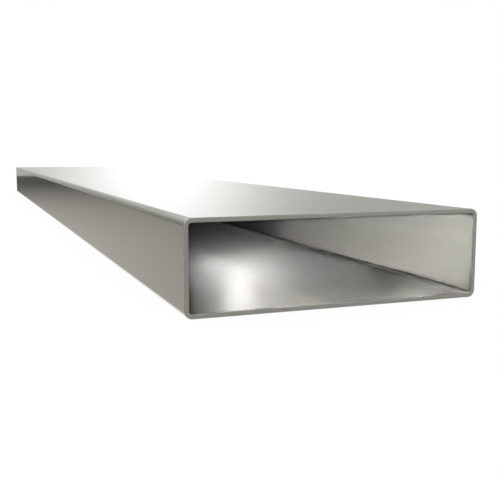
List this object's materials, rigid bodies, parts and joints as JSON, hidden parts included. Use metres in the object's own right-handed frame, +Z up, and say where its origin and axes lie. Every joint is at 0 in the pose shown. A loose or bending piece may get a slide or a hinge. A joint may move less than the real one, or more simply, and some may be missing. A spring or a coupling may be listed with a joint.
{
  "type": "flat channel duct",
  "caption": "Straight flat rectangular metal duct with rounded corners and open ends, for carrying ventilation air in shallow spaces.",
  "frame": {"origin": "centre of the flat underside that the duct lies on", "axes": "+X across the width, +Y along the length, +Z up through the height"},
  "size_m": [0.204, 1.5, 0.06],
  "materials": {
    "satin_steel": "satin"
  },
  "bodies": {
    "root": {"duct": "satin_steel"}
  },
  "joints": []
}
